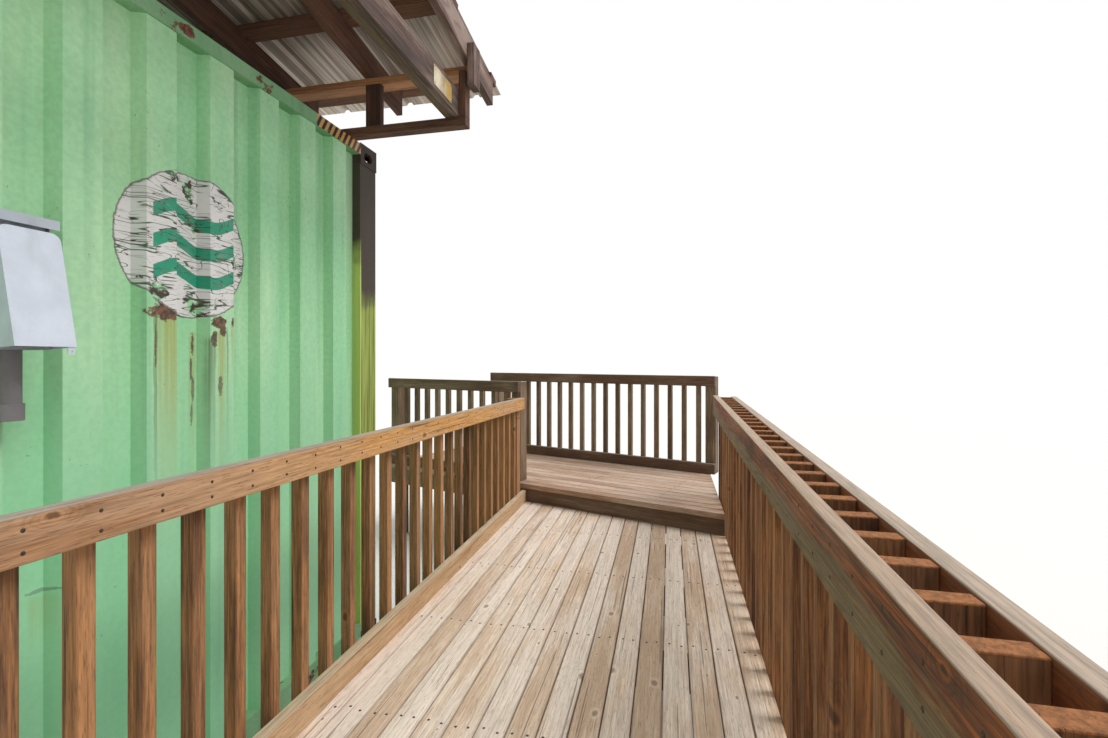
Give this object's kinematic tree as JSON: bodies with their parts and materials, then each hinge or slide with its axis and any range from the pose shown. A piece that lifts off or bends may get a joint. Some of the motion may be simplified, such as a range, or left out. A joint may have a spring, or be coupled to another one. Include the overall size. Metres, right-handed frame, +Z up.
{
  "type": "shipping container cabin",
  "caption": "Steel shipping container cabin with a timber-framed sheet roof over it and a boarded ramp with railings, a step and a landing at its end wall.",
  "frame": {"origin": "middle of the footprint of the whole model, on the ground", "axes": "+X along the container's end wall towards the landing, +Y from the end wall with the ramp along the container's length, +Z up"},
  "size_m": [5.5876, 14.442, 3.7632],
  "materials": {
    "green_paint": "weathered satin",
    "rusted_steel": "rusted matt",
    "floor_ply": "worn",
    "zinc_steel": "weathered",
    "dark_timber": "rough",
    "grey_timber": "weathered",
    "brown_timber": "weathered",
    "deck_timber": "weathered",
    "ribbed_zinc": "weathered",
    "grey_plastic": "satin"
  },
  "bodies": {
    "cabin": {"front_wall": "green_paint", "left_wall": "green_paint", "right_wall": "green_paint", "roof_panel": "green_paint", "front_header": "green_paint", "front_sill": "green_paint", "front_posts": "rusted_steel", "rear_posts": "green_paint", "door_header": "green_paint", "door_sill": "green_paint", "top_rails": "green_paint", "bottom_rails": "green_paint", "top_castings": "rusted_steel", "bottom_castings": "rusted_steel", "crossmembers": "rusted_steel", "floor_boards": "floor_ply", "left_door": "green_paint", "right_door": "green_paint", "lock_rods": "zinc_steel", "rod_brackets": "zinc_steel", "door_handles": "zinc_steel", "door_hinges": "zinc_steel", "canopy_bearers": "dark_timber", "canopy_end_beam": "grey_timber", "canopy_posts_left": "dark_timber", "canopy_posts_right": "dark_timber", "canopy_eave_plates": "dark_timber", "canopy_rafters": "dark_timber", "canopy_purlins": "brown_timber", "canopy_fascia": "grey_timber", "canopy_sheet": "ribbed_zinc", "outlet_box": "grey_plastic", "outlet_conduit": "grey_plastic", "deck_posts": "grey_timber", "ramp_frame": "dark_timber", "ramp_boards": "deck_timber", "ramp_curb": "brown_timber", "left_railing": "brown_timber", "right_railing": "brown_timber", "step_riser": "grey_timber", "landing_frame": "dark_timber", "landing_boards": "deck_timber", "far_railing": "brown_timber", "side_railing": "brown_timber"},
    "cover": {"outlet_cover": "grey_plastic"}
  },
  "joints": [
    {"name": "cover_hinge", "type": "hinge", "parent": "cabin", "child": "cover", "pos_m": [-1.8635, -5.075, 1.996], "axis": [-1, 0, 0], "range_deg": [0, 85]}
  ]
}
